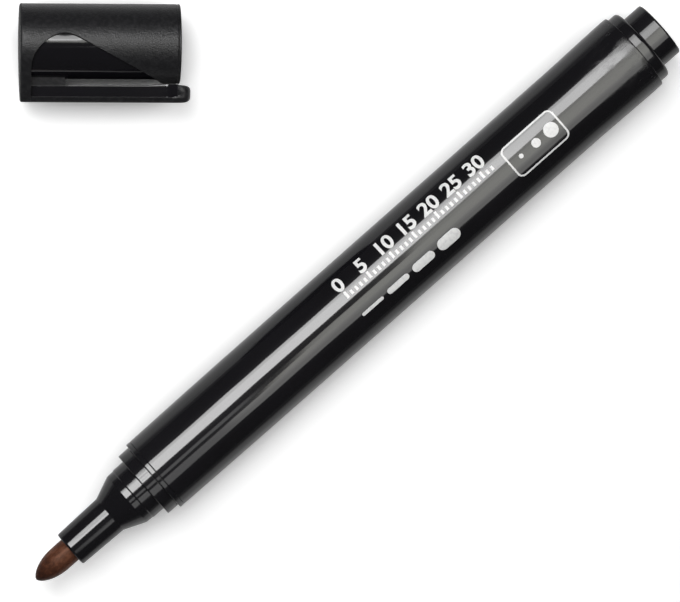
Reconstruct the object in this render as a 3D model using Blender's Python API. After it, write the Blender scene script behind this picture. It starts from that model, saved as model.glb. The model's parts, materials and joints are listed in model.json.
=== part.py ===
"""Permanent marker with a bullet nib, lying on a table with its cap taken off beside it.

Each turned piece is drawn as half a section, with x along its axis and r away from it.
The pen's x runs from the tip of the nib to its rear end, the cap's from its closed end to its mouth.
"""
import math

import bmesh
import bpy
from mathutils import Matrix, Vector

# Driving dimensions, in metres and degrees

# Fits that several pieces share
SEGMENTS = 48
MERGE_DISTANCE = 1e-7
SEAT_GAP = 0.0002
SLIP_CLEARANCE = 0.00015

# Nib
NIB_DIAMETER = 0.00443
NIB_POINT_LENGTH = 0.0052
NIB_POINT_EXPONENT = 0.62
NIB_POINT_STEPS = 9
NIB_POINT_SPACING = 1.6
NIB_REACH = 0.0075
NIB_SOAK_LENGTH = 0.008

# Nose section
FERRULE_LENGTH = 0.0088
FERRULE_MOUTH_DIAMETER = 0.00645
FERRULE_BASE_DIAMETER = 0.00685
FERRULE_CHAMFER = 0.00015
CONE_LENGTH = 0.0038
FRONT_LAND_LENGTH = 0.0012
LAND_STEP_HEIGHT = 0.00012
LAND_STEP_LENGTH = 0.0002
REAR_LAND_LENGTH = 0.0022
COLLAR_DIAMETER = 0.0126
COLLAR_LENGTH = 0.002
COLLAR_CHAMFER = 0.00015
NOSE_SPIGOT_LENGTH = 0.012
NOSE_SPIGOT_WALL = 0.0011
NOSE_FUNNEL_LENGTH = 0.003

# Barrel
BARREL_LENGTH = 0.107
BARREL_BORE = 0.0117
BARREL_LIP_DIAMETER = 0.0136
BARREL_LIP_LENGTH = 0.001
BARREL_LIP_CHAMFER = 0.0001
BARREL_FRONT_DIAMETER = 0.01385
BARREL_REAR_DIAMETER = 0.0142
BARREL_FLARE_DIAMETER = 0.01453
BARREL_FLARE_LENGTH = 0.0075
BARREL_FLARE_BLEND = 0.004
BARREL_REAR_CHAMFER = 0.0002

# Ink reservoir and its film
RESERVOIR_DIAMETER = 0.0105
FILM_WALL = 0.00015

# Rear plug
FLANGE_DIAMETER = 0.01345
FLANGE_LENGTH = 0.0018
FLANGE_ROUND = 0.0006
BUTTON_POST_CLEARANCE = 0.0002
BUTTON_LENGTH = 0.0038
BUTTON_ROUND = 0.0003
BUTTON_WALL = 0.0014
PLUG_SPIGOT_LENGTH = 0.008
PLUG_SPIGOT_WALL = 0.0012

# Cap and its inner seal
CAP_DIAMETER = 0.01324
CAP_WALL = 0.00132
CAP_END_WALL = 0.0019
CAP_END_ROUND = 0.0004
CAP_END_STEP = 0.00006
CAP_MOUTH_CHAMFER = 0.0002
RECESS_DEPTH = 0.00027
RECESS_PEAK_X = 0.00725
RECESS_PEAK_Y = 0.00158
RECESS_FOOT_Y = -0.0036
RECESS_EXPONENT = 1.7
RECESS_PEAK_ROUND = 0.005
RECESS_FALL_ANGLE = 28.6
RECESS_STEPS = 5
SEAL_WALL = 0.0008
SEAL_FLOOR = 0.0007
SEAL_FLANGE_LENGTH = 0.0025
SEAL_CONE_ROOM = 0.0008
NIB_TIP_ROOM = 0.0004

# Pocket clip
CLIP_WIDTH = 0.0052
CLIP_RIB_WIDTH = 0.0036
CLIP_THICKNESS = 0.00225
CLIP_SKIN_THICKNESS = 0.00085
CLIP_SLOT = 0.0009
CLIP_ROOT_LENGTH = 0.0081
CLIP_HINGE_GAP = 0.0003
CLIP_OVERHANG = 0.0017
CLIP_EDGE_ROUND = 0.0005
CLIP_TIP_ROUND = 0.0009
CLIP_BUMP_LENGTH = 0.0026
CLIP_BUMP_HEIGHT = 0.0006
CLIP_BUMP_TO_TIP = 0.0022
CLIP_BUMP_STEPS = 6

# How the two lie on the table
PEN_ANGLE = 41.6
PEN_MIDDLE = Vector((-0.00003, -0.00169))
CAP_MIDDLE = Vector((-0.04177, 0.04129))

# Places along the pen, worked out from the sizes above
FERRULE_MOUTH = NIB_REACH
CONE_FRONT = FERRULE_MOUTH + FERRULE_LENGTH
FRONT_LAND = CONE_FRONT + CONE_LENGTH
REAR_LAND = FRONT_LAND + FRONT_LAND_LENGTH + LAND_STEP_LENGTH
COLLAR_FRONT = REAR_LAND + REAR_LAND_LENGTH
COLLAR_REAR = COLLAR_FRONT + COLLAR_LENGTH
NOSE_REAR = COLLAR_REAR + NOSE_SPIGOT_LENGTH
BARREL_FRONT = COLLAR_REAR + SEAT_GAP
BARREL_REAR = BARREL_FRONT + BARREL_LENGTH
FLANGE_FRONT = BARREL_REAR + SEAT_GAP
FLANGE_REAR = FLANGE_FRONT + FLANGE_LENGTH
PEN_LENGTH = FLANGE_REAR + BUTTON_LENGTH
PLUG_FRONT = FLANGE_FRONT - PLUG_SPIGOT_LENGTH
RESERVOIR_FRONT = NOSE_REAR + SEAT_GAP
RESERVOIR_REAR = PLUG_FRONT - SEAT_GAP

# Fits worked out from the sizes above
NIB_BORE = NIB_DIAMETER + 2 * SLIP_CLEARANCE
SPIGOT_DIAMETER = BARREL_BORE - 2 * SLIP_CLEARANCE
FILM_BORE = RESERVOIR_DIAMETER + 2 * SLIP_CLEARANCE
CAP_BORE = CAP_DIAMETER - 2 * CAP_WALL
REAR_LAND_DIAMETER = CAP_BORE - 2 * SLIP_CLEARANCE
FRONT_LAND_DIAMETER = REAR_LAND_DIAMETER - 2 * LAND_STEP_HEIGHT
BUTTON_DIAMETER = CAP_BORE - 2 * BUTTON_POST_CLEARANCE
SEAL_BASE = CAP_END_WALL + SEAT_GAP
SEAL_BORE = FERRULE_BASE_DIAMETER + 2 * SLIP_CLEARANCE
CAP_TIP_PLACE = SEAL_BASE + SEAL_FLOOR + NIB_TIP_ROOM
CAP_LENGTH = CAP_TIP_PLACE + COLLAR_FRONT - SEAT_GAP
SEAL_MOUTH = CAP_TIP_PLACE + CONE_FRONT - SEAL_CONE_ROOM
CLIP_INNER = CAP_DIAMETER / 2 + CLIP_SLOT
CLIP_OUTER = CLIP_INNER + CLIP_THICKNESS
CLIP_HINGE = Vector((CLIP_ROOT_LENGTH + CLIP_HINGE_GAP / 2, -(CLIP_INNER + CLIP_OUTER) / 2, 0.0))
CLIP_TIP = CAP_LENGTH + CLIP_OVERHANG

BLACK_PLASTIC = (0.012, 0.012, 0.013, 1.0)
NIB_BROWN = (0.085, 0.040, 0.025, 1.0)
INK_BLACK = (0.010, 0.009, 0.011, 1.0)
FILM_GREY = (0.45, 0.46, 0.47, 1.0)
SEAL_GREY = (0.06, 0.06, 0.062, 1.0)


def clear_scene():
    for scene_object in list(bpy.data.objects):
        bpy.data.objects.remove(scene_object, do_unlink=True)


def new_material(name, color, roughness):
    material = bpy.data.materials.new(name)
    material.use_nodes = True
    shader = material.node_tree.nodes["Principled BSDF"]
    shader.inputs["Base Color"].default_value = color
    shader.inputs["Roughness"].default_value = roughness
    shader.inputs["Metallic"].default_value = 0.0
    return material


def new_empty(name, location, angle):
    empty = bpy.data.objects.new(name, None)
    empty.location = location
    empty.rotation_euler.z = math.radians(angle)
    bpy.context.collection.objects.link(empty)
    return empty


def new_part(name, shape, parent, material, location=(0.0, 0.0, 0.0)):
    """Turn a bmesh into a named, smooth-shaded object under its parent empty."""
    bmesh.ops.recalc_face_normals(shape, faces=shape.faces)
    mesh = bpy.data.meshes.new(name)
    shape.to_mesh(mesh)
    shape.free()
    mesh.shade_smooth()
    mesh.set_sharp_from_angle(angle=math.radians(30))
    mesh.materials.append(material)
    part = bpy.data.objects.new(name, mesh)
    part.location = location
    part.parent = parent
    bpy.context.collection.objects.link(part)
    return part


def quarter(center_x, center_r, radius, start, steps=3):
    """Points of a convex quarter round of a section, turned from one angle by a right angle clockwise."""
    points = []
    for step in range(steps + 1):
        angle = math.radians(start - 90 * step / steps)
        points.append((center_x + radius * math.cos(angle), center_r + radius * math.sin(angle)))
    return points


def turned(section, hollow):
    """Spin half a section round the x axis, with a flat side underneath to lie on.

    A hollow section is a closed loop. A solid one starts and ends on the axis.
    """
    shape = bmesh.new()
    verts = [shape.verts.new((x, 0.0, r)) for x, r in section]
    links = list(zip(verts, verts[1:]))
    if hollow:
        links.append((verts[-1], verts[0]))
    edges = [shape.edges.new(link) for link in links]
    half_step = Matrix.Rotation(math.pi / SEGMENTS, 4, "X")
    bmesh.ops.transform(shape, matrix=half_step, verts=verts)
    bmesh.ops.spin(
        shape,
        geom=verts + edges,
        axis=(1.0, 0.0, 0.0),
        cent=(0.0, 0.0, 0.0),
        angle=2 * math.pi,
        steps=SEGMENTS,
        use_merge=True,
    )
    bmesh.ops.remove_doubles(shape, verts=shape.verts, dist=MERGE_DISTANCE)
    return shape


def lying_height(diameter):
    """Height of the axis of a turned piece that lies on one of its flat sides."""
    return diameter / 2 * math.cos(math.pi / SEGMENTS)


def make_nib(pen, felt):
    radius = NIB_DIAMETER / 2
    section = [(0.0, 0.0)]
    for step in range(1, NIB_POINT_STEPS + 1):
        share = (step / NIB_POINT_STEPS) ** NIB_POINT_SPACING
        swell = (1 - (1 - share) ** 2) ** NIB_POINT_EXPONENT
        section.append((NIB_POINT_LENGTH * share, radius * swell))
    tail = RESERVOIR_FRONT + NIB_SOAK_LENGTH
    section += [(tail, radius), (tail, 0.0)]
    new_part("nib", turned(section, hollow=False), pen, felt)


def make_nose_section(pen, plastic):
    mouth = FERRULE_MOUTH_DIAMETER / 2
    bore = NIB_BORE / 2
    collar = COLLAR_DIAMETER / 2
    front_land = FRONT_LAND_DIAMETER / 2
    rear_land = REAR_LAND_DIAMETER / 2
    spigot = SPIGOT_DIAMETER / 2
    chamber = spigot - NOSE_SPIGOT_WALL
    section = [
        (FERRULE_MOUTH, bore),
        (FERRULE_MOUTH, mouth - FERRULE_CHAMFER),
        (FERRULE_MOUTH + FERRULE_CHAMFER, mouth),
        (CONE_FRONT, FERRULE_BASE_DIAMETER / 2),
        (FRONT_LAND, front_land),
        (FRONT_LAND + FRONT_LAND_LENGTH, front_land),
        (REAR_LAND, rear_land),
        (COLLAR_FRONT, rear_land),
        (COLLAR_FRONT, collar - COLLAR_CHAMFER),
        (COLLAR_FRONT + COLLAR_CHAMFER, collar),
        (COLLAR_REAR - COLLAR_CHAMFER, collar),
        (COLLAR_REAR, collar - COLLAR_CHAMFER),
        (COLLAR_REAR, spigot),
        (NOSE_REAR, spigot),
        (NOSE_REAR, chamber),
        (COLLAR_REAR, chamber),
        (COLLAR_REAR - NOSE_FUNNEL_LENGTH, bore),
    ]
    new_part("nose_section", turned(section, hollow=True), pen, plastic)


def make_barrel(pen, plastic):
    bore = BARREL_BORE / 2
    lip = BARREL_LIP_DIAMETER / 2
    flare = BARREL_FLARE_DIAMETER / 2
    flare_start = BARREL_REAR - BARREL_FLARE_LENGTH
    section = [
        (BARREL_FRONT, bore),
        (BARREL_FRONT, lip - BARREL_LIP_CHAMFER),
        (BARREL_FRONT + BARREL_LIP_CHAMFER, lip),
        (BARREL_FRONT + BARREL_LIP_LENGTH, BARREL_FRONT_DIAMETER / 2),
        (flare_start - BARREL_FLARE_BLEND, BARREL_REAR_DIAMETER / 2),
        (flare_start, flare),
        (BARREL_REAR - BARREL_REAR_CHAMFER, flare),
        (BARREL_REAR, flare - BARREL_REAR_CHAMFER),
        (BARREL_REAR, bore),
    ]
    new_part("barrel", turned(section, hollow=True), pen, plastic)


def make_ink_reservoir(pen, fibre):
    radius = RESERVOIR_DIAMETER / 2
    hole = NIB_BORE / 2
    hole_end = RESERVOIR_FRONT + NIB_SOAK_LENGTH + SEAT_GAP
    section = [
        (hole_end, 0.0),
        (hole_end, hole),
        (RESERVOIR_FRONT, hole),
        (RESERVOIR_FRONT, radius),
        (RESERVOIR_REAR, radius),
        (RESERVOIR_REAR, 0.0),
    ]
    new_part("ink_reservoir", turned(section, hollow=False), pen, fibre)


def make_reservoir_film(pen, film):
    inner = FILM_BORE / 2
    outer = inner + FILM_WALL
    section = [
        (RESERVOIR_FRONT, inner),
        (RESERVOIR_FRONT, outer),
        (RESERVOIR_REAR, outer),
        (RESERVOIR_REAR, inner),
    ]
    new_part("reservoir_film", turned(section, hollow=True), pen, film)


def make_rear_plug(pen, plastic):
    spigot = SPIGOT_DIAMETER / 2
    chamber = spigot - PLUG_SPIGOT_WALL
    button = BUTTON_DIAMETER / 2
    flange = FLANGE_DIAMETER / 2
    chamber_end = PEN_LENGTH - BUTTON_WALL
    button_chamber = button - BUTTON_WALL
    section = [
        (chamber_end, 0.0),
        (chamber_end, button_chamber),
        (FLANGE_FRONT, button_chamber),
        (PLUG_FRONT, chamber),
        (PLUG_FRONT, spigot),
        (FLANGE_FRONT, spigot),
        (FLANGE_FRONT, flange),
    ]
    section += quarter(FLANGE_REAR - FLANGE_ROUND, flange - FLANGE_ROUND, FLANGE_ROUND, 90)
    section.append((FLANGE_REAR, button))
    section += quarter(PEN_LENGTH - BUTTON_ROUND, button - BUTTON_ROUND, BUTTON_ROUND, 90)
    section.append((PEN_LENGTH, 0.0))
    new_part("rear_plug", turned(section, hollow=False), pen, plastic)


def raised_outline(outline, width):
    """Solid of a plan outline raised to a width, half of it above the plane of the axis and half below."""
    shape = bmesh.new()
    verts = [shape.verts.new((x, y, -width / 2)) for x, y in outline]
    face = shape.faces.new(verts)
    raised = bmesh.ops.extrude_face_region(shape, geom=[face])["geom"]
    top = [item for item in raised if isinstance(item, bmesh.types.BMVert)]
    bmesh.ops.translate(shape, verts=top, vec=(0.0, 0.0, width))
    return shape


def new_form(name, shape, parent, material, location=(0.0, 0.0, 0.0)):
    """A solid that only shapes another one and isn't a piece by itself."""
    form = new_part(name, shape, parent, material, location)
    form.hide_render = True
    form.display_type = "WIRE"
    return form


def combine(part, form, operation):
    modifier = part.modifiers.new(form.name, "BOOLEAN")
    modifier.operation = operation
    modifier.object = form


def crown_skin(shape):
    """Round the two long edges of the skin's outer face."""
    long_edges = [
        edge for edge in shape.edges
        if all(abs(vert.co.y + CLIP_OUTER) < MERGE_DISTANCE for vert in edge.verts)
        and abs(edge.verts[0].co.x - edge.verts[1].co.x) > CLIP_SKIN_THICKNESS
    ]
    bmesh.ops.bevel(
        shape, geom=long_edges, offset=CLIP_EDGE_ROUND, affect="EDGES", segments=3, profile=0.5, material=-1
    )


def make_recess_form(cap, plastic):
    """Shallow window in the cap's side, below a hump that rises steeply and falls slowly to the mouth."""
    beyond = -2 * CAP_DIAMETER
    rise = RECESS_PEAK_Y - RECESS_FOOT_Y
    start = CAP_END_WALL - 2 * CAP_END_STEP
    run = RECESS_PEAK_X - start
    outline = [(start, beyond)]
    for step in range(RECESS_STEPS + 1):
        angle = math.pi / 2 * step / RECESS_STEPS
        along = math.cos(angle) ** (2 / RECESS_EXPONENT)
        up = math.sin(angle) ** (2 / RECESS_EXPONENT)
        outline.append((RECESS_PEAK_X - run * along, RECESS_FOOT_Y + rise * up))
    fall = math.radians(RECESS_FALL_ANGLE)
    for step in range(1, RECESS_STEPS + 1):
        angle = fall * step / RECESS_STEPS
        drop = RECESS_PEAK_ROUND * (1 - math.cos(angle))
        outline.append((RECESS_PEAK_X + RECESS_PEAK_ROUND * math.sin(angle), RECESS_PEAK_Y - drop))
    fall_x, fall_y = outline[-1]
    side = -CAP_DIAMETER / 2
    recess_end = fall_x + (fall_y - side) / math.tan(fall)
    outline += [(recess_end, side), (recess_end, beyond)]
    window = new_form("recess_form", raised_outline(outline, 2 * CAP_DIAMETER), cap, plastic)
    core = CAP_DIAMETER / 2 - RECESS_DEPTH
    core_section = [(-CAP_LENGTH, 0.0), (-CAP_LENGTH, core), (2 * CAP_LENGTH, core), (2 * CAP_LENGTH, 0.0)]
    core_form = new_form("recess_core_form", turned(core_section, hollow=False), cap, plastic)
    combine(window, core_form, "DIFFERENCE")
    return window


def make_cap_end_form(cap, plastic):
    """Drop-shaped end plate: the cap's closed end drawn out to the clip's outer face."""
    rim = CAP_DIAMETER / 2 - CAP_END_ROUND / 2
    shape = bmesh.new()
    for x in (0.0, CAP_END_WALL - CAP_END_STEP):
        disc = Matrix.Translation((x, 0.0, 0.0)) @ Matrix.Rotation(math.pi / 2, 4, "Y")
        bmesh.ops.create_circle(shape, segments=SEGMENTS, radius=rim, matrix=disc)
        for side in (-1, 1):
            half_width = side * CLIP_WIDTH / 2
            shape.verts.new((x, CLIP_EDGE_ROUND - CLIP_OUTER, half_width))
            shape.verts.new((x, -CLIP_OUTER, half_width - side * CLIP_EDGE_ROUND))
    bmesh.ops.convex_hull(shape, input=shape.verts)
    return new_form("cap_end_form", shape, cap, plastic)


def make_clip_web_form(cap, plastic):
    """Web between the cap's wall and the root of the clip."""
    sunk = (CAP_BORE / 2 + CAP_DIAMETER / 2 - RECESS_DEPTH) / 2
    inside = CLIP_OUTER - CLIP_SKIN_THICKNESS / 2
    start = CAP_END_WALL / 2
    end = CLIP_ROOT_LENGTH
    outline = [(start, -inside), (start, -sunk), (end, -sunk), (end, -inside)]
    return new_form("clip_web_form", raised_outline(outline, CLIP_RIB_WIDTH), cap, plastic)


def make_clip_root_skin_form(cap, plastic):
    start = CAP_END_WALL / 2
    end = CLIP_ROOT_LENGTH
    inside = CLIP_OUTER - CLIP_SKIN_THICKNESS
    outline = [(start, -CLIP_OUTER), (start, -inside), (end, -inside), (end, -CLIP_OUTER)]
    shape = raised_outline(outline, CLIP_WIDTH)
    crown_skin(shape)
    return new_form("clip_root_skin_form", shape, cap, plastic)


def make_cap_shell(cap, plastic):
    bore = CAP_BORE / 2
    outer = CAP_DIAMETER / 2
    section = [(CAP_END_WALL, 0.0), (CAP_END_WALL, bore), (CAP_LENGTH, bore)]
    section.append((CAP_LENGTH, outer - CAP_MOUTH_CHAMFER))
    section.append((CAP_LENGTH - CAP_MOUTH_CHAMFER, outer))
    end_round = CAP_END_STEP + CAP_END_ROUND
    section += reversed(quarter(end_round, outer - CAP_END_ROUND, CAP_END_ROUND, 180))
    section.append((CAP_END_STEP, 0.0))
    shell = new_part("cap_shell", turned(section, hollow=False), cap, plastic)
    combine(shell, make_recess_form(cap, plastic), "DIFFERENCE")
    combine(shell, make_cap_end_form(cap, plastic), "UNION")
    combine(shell, make_clip_web_form(cap, plastic), "UNION")
    combine(shell, make_clip_root_skin_form(cap, plastic), "UNION")


def make_cap_seal(cap, plastic):
    bore = SEAL_BORE / 2
    sleeve = bore + SEAL_WALL
    flange = CAP_BORE / 2 - SLIP_CLEARANCE
    floor_top = SEAL_BASE + SEAL_FLOOR
    section = [
        (SEAL_BASE, 0.0),
        (SEAL_BASE, flange),
        (SEAL_BASE + SEAL_FLANGE_LENGTH, flange),
        (SEAL_BASE + SEAL_FLANGE_LENGTH, sleeve),
        (SEAL_MOUTH, sleeve),
        (SEAL_MOUTH, bore),
        (floor_top, bore),
        (floor_top, 0.0),
    ]
    new_part("cap_seal", turned(section, hollow=False), cap, plastic)


def make_pocket_clip(cap, plastic):
    """Arm of the clip, an outer skin on a narrower rib that ends in a bump. Its origin is on the flex line."""
    root = CLIP_ROOT_LENGTH + CLIP_HINGE_GAP
    bump_end = CLIP_TIP - CLIP_BUMP_TO_TIP
    bump_start = bump_end - CLIP_BUMP_LENGTH
    rib_outer = CLIP_OUTER - CLIP_SKIN_THICKNESS / 2
    rib = [(root, -rib_outer), (root, -CLIP_INNER)]
    for step in range(CLIP_BUMP_STEPS + 1):
        share = step / CLIP_BUMP_STEPS
        bump_rise = CLIP_BUMP_HEIGHT * math.sin(math.pi * share) ** 2
        rib.append((bump_start + CLIP_BUMP_LENGTH * share, bump_rise - CLIP_INNER))
    rib_end = (bump_end + CLIP_TIP) / 2
    rib_end_inner = CLIP_INNER + CLIP_SKIN_THICKNESS / 2
    rib += [(rib_end, -rib_end_inner), (rib_end, -rib_outer)]
    skin_inner = CLIP_OUTER - CLIP_SKIN_THICKNESS
    tip_center = CLIP_TIP - CLIP_TIP_ROUND
    skin = [(root, -CLIP_OUTER), (root, -skin_inner), (bump_end, -skin_inner), (bump_end, -CLIP_INNER)]
    skin += quarter(tip_center, -CLIP_INNER - CLIP_TIP_ROUND, CLIP_TIP_ROUND, 90)
    skin += quarter(tip_center, -CLIP_OUTER + CLIP_TIP_ROUND, CLIP_TIP_ROUND, 0)
    skin_shape = raised_outline(skin, CLIP_WIDTH)
    crown_skin(skin_shape)
    bmesh.ops.translate(skin_shape, verts=skin_shape.verts, vec=-CLIP_HINGE)
    rib_shape = raised_outline(rib, CLIP_RIB_WIDTH)
    bmesh.ops.translate(rib_shape, verts=rib_shape.verts, vec=-CLIP_HINGE)
    clip = new_part("pocket_clip", skin_shape, cap, plastic, location=CLIP_HINGE)
    combine(clip, new_form("clip_rib_form", rib_shape, cap, plastic, location=CLIP_HINGE), "UNION")


clear_scene()

glossy_black = new_material("glossy black plastic", BLACK_PLASTIC, 0.12)
grained_black = new_material("grained black plastic", BLACK_PLASTIC, 0.45)
brown_felt = new_material("inked felt", NIB_BROWN, 0.75)
inked_fibre = new_material("inked fibre", INK_BLACK, 0.85)
clear_film = new_material("sleeve film", FILM_GREY, 0.25)
seal_plastic = new_material("seal plastic", SEAL_GREY, 0.35)

half_pen = Vector((math.cos(math.radians(PEN_ANGLE)), math.sin(math.radians(PEN_ANGLE)))) * PEN_LENGTH / 2
nib_tip = PEN_MIDDLE - half_pen
pen_axis = new_empty("pen_axis", (nib_tip.x, nib_tip.y, lying_height(BARREL_FLARE_DIAMETER)), PEN_ANGLE)
make_nib(pen_axis, brown_felt)
make_nose_section(pen_axis, glossy_black)
make_barrel(pen_axis, glossy_black)
make_ink_reservoir(pen_axis, inked_fibre)
make_reservoir_film(pen_axis, clear_film)
make_rear_plug(pen_axis, glossy_black)

cap_end = (CAP_MIDDLE.x - CAP_LENGTH / 2, CAP_MIDDLE.y, lying_height(CAP_DIAMETER))
cap_axis = new_empty("cap_axis", cap_end, 0.0)
make_cap_shell(cap_axis, grained_black)
make_cap_seal(cap_axis, seal_plastic)
make_pocket_clip(cap_axis, grained_black)
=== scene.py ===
import json
import math

import bmesh
import bpy
from mathutils import Matrix, Vector


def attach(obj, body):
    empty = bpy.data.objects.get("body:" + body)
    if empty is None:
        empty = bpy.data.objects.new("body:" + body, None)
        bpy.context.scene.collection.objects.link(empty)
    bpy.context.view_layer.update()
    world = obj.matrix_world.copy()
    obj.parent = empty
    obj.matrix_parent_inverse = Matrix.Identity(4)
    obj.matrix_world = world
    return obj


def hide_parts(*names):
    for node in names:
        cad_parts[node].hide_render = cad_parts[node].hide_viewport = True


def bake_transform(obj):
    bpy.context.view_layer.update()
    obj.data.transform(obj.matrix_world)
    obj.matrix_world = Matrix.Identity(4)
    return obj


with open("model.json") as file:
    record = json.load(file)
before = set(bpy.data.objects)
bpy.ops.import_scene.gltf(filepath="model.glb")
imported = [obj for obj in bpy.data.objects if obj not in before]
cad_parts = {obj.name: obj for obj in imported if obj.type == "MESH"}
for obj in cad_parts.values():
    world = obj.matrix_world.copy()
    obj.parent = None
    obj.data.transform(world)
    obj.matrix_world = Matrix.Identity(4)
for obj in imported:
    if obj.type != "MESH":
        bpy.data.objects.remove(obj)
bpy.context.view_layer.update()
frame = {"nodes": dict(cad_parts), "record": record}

mounts = {mount["name"]: mount for mount in frame["record"]["mounts"]}


# Ink reservoir: a rod of bonded polyester fibre that fills the middle of the barrel and holds the ink.
# Its fibres run lengthwise and are soaked black. It is slid in from the rear and shows only when taken apart.
PEN_LENGTH = 0.1387
PEN_AXIS = Vector(mounts["rear_end"]["axis"])
PEN_ANGLE = math.atan2(PEN_AXIS.y, PEN_AXIS.x)
NIB_TIP = Vector(mounts["rear_end"]["pos_m"]) - PEN_AXIS * PEN_LENGTH
STRAND_STRETCH = (90.0, 4200.0, 4200.0)
CLUMP_STRETCH = (220.0, 700.0, 700.0)
STRAND_HEIGHT = 0.00008
INK_TONES = [(0.35, (0.006, 0.005, 0.007, 1.0)), (0.68, (0.030, 0.026, 0.032, 1.0))]


def new_finish(name, **sockets):
    """Material with a Principled BSDF, whose constant sockets are set here."""
    material = bpy.data.materials.new(name)
    material.use_nodes = True
    shader = material.node_tree.nodes["Principled BSDF"]
    for socket, value in sockets.items():
        shader.inputs[socket.replace("_", " ")].default_value = value
    return material, material.node_tree, shader


def add_node(tree, kind, settings=None, operands=(), **inputs):
    """Node with its settings, and its inputs either set to a value or linked from another node's output."""
    node = tree.nodes.new(kind)
    for name, value in (settings or {}).items():
        setattr(node, name, value)
    sockets = [(node.inputs[index], value) for index, value in enumerate(operands)]
    sockets += [(node.inputs[name.replace("_", " ")], value) for name, value in inputs.items()]
    for socket, value in sockets:
        if isinstance(value, bpy.types.NodeSocket):
            tree.links.new(value, socket)
        else:
            socket.default_value = value
    return node


def new_group(name, outputs):
    """Shader node group that reads a piece's coordinates and puts out masks and heights."""
    group = bpy.data.node_groups.new(name, "ShaderNodeTree")
    group.interface.new_socket("Vector", in_out="INPUT", socket_type="NodeSocketVector")
    for output in outputs:
        group.interface.new_socket(output, in_out="OUTPUT", socket_type="NodeSocketFloat")
    return group, group.nodes.new("NodeGroupInput").outputs["Vector"], group.nodes.new("NodeGroupOutput")


def stretched_noise(tree, vector, stretch, detail, roughness=0.5):
    """Noise with its own scale along each axis, where a larger number makes it finer."""
    scaled = add_node(tree, "ShaderNodeVectorMath", {"operation": "MULTIPLY"}, [vector, stretch])
    noise = add_node(
        tree, "ShaderNodeTexNoise",
        Vector=scaled.outputs["Vector"], Scale=1.0, Detail=detail, Roughness=roughness,
    )
    return noise.outputs["Fac"]


def tinted(tree, value, tones):
    """Colour that follows a value through tones of (position, colour)."""
    color_ramp = add_node(tree, "ShaderNodeValToRGB", Fac=value)
    elements = color_ramp.color_ramp.elements
    for index, (position, color) in enumerate(tones):
        element = elements[index] if index < 2 else elements.new(position)
        element.position = position
        element.color = color
    return color_ramp.outputs["Color"]


def raised(tree, shader, height, distance):
    """Relief on a finish, of the given depth in metres."""
    bump = add_node(tree, "ShaderNodeBump", Height=height, Strength=1.0, Distance=distance)
    tree.links.new(bump.outputs["Normal"], shader.inputs["Normal"])


def placed_coordinates(tree, place, turn=0.0, size=(1.0, 1.0, 1.0)):
    """Object coordinates moved to a place, turned about the upright axis and measured in a size."""
    coordinate = add_node(tree, "ShaderNodeTexCoord")
    mapping = add_node(
        tree, "ShaderNodeMapping", {"vector_type": "TEXTURE"},
        Vector=coordinate.outputs["Object"], Location=place, Rotation=(0.0, 0.0, turn), Scale=size,
    )
    return mapping.outputs["Vector"]


def pen_coordinates(tree):
    """Coordinates of the pen, with x from the tip of the nib along its axis."""
    return placed_coordinates(tree, NIB_TIP, PEN_ANGLE)


def dress(node, material):
    """Take the plain material off a CAD node and put a finish on."""
    slots = frame["nodes"][node].data.materials
    slots.clear()
    slots.append(material)


fibre_strands, strand_vector, strand_out = new_group("fibre strands", ["Strand", "Clump"])
strand = stretched_noise(fibre_strands, strand_vector, STRAND_STRETCH, detail=3.0, roughness=0.6)
clump = stretched_noise(fibre_strands, strand_vector, CLUMP_STRETCH, detail=2.0)
fibre_strands.links.new(strand, strand_out.inputs["Strand"])
fibre_strands.links.new(clump, strand_out.inputs["Clump"])

inked_fibre, tree, shader = new_finish("inked fibre", Roughness=0.85)
strands = add_node(tree, "ShaderNodeGroup", {"node_tree": fibre_strands}, Vector=pen_coordinates(tree))
tree.links.new(tinted(tree, strands.outputs["Strand"], INK_TONES), shader.inputs["Base Color"])
raised(tree, shader, strands.outputs["Strand"], STRAND_HEIGHT)
dress("ink_reservoir", inked_fibre)


# Reservoir film: a thin sleeve of heat-shrunk polypropylene film wrapped round the fibre rod.
# It keeps the ink off the barrel's wall, is stained by it in places, and shows fine lengthwise wrinkles.
FILM_TONES = [(0.0, (0.42, 0.43, 0.45, 1.0)), (1.0, (0.10, 0.10, 0.12, 1.0))]
STAIN_STRETCH = (60.0, 240.0, 240.0)
STAIN_RANGE = (0.42, 0.66)
WRINKLE_STRETCH = (45.0, 900.0, 900.0)
WRINKLE_HEIGHT = 0.00005


def between(tree, value, low, high, to_low=0.0, to_high=1.0):
    """Value stretched from one range to another and held inside it."""
    mapped = add_node(
        tree, "ShaderNodeMapRange", Value=value, From_Min=low, From_Max=high, To_Min=to_low, To_Max=to_high
    )
    return mapped.outputs["Result"]


sleeve_film, tree, shader = new_finish("sleeve film", Roughness=0.25)
film_vector = pen_coordinates(tree)
stain = between(tree, stretched_noise(tree, film_vector, STAIN_STRETCH, detail=4.0), *STAIN_RANGE)
tree.links.new(tinted(tree, stain, FILM_TONES), shader.inputs["Base Color"])
raised(tree, shader, stretched_noise(tree, film_vector, WRINKLE_STRETCH, detail=2.0), WRINKLE_HEIGHT)
dress("reservoir_film", sleeve_film)


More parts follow.
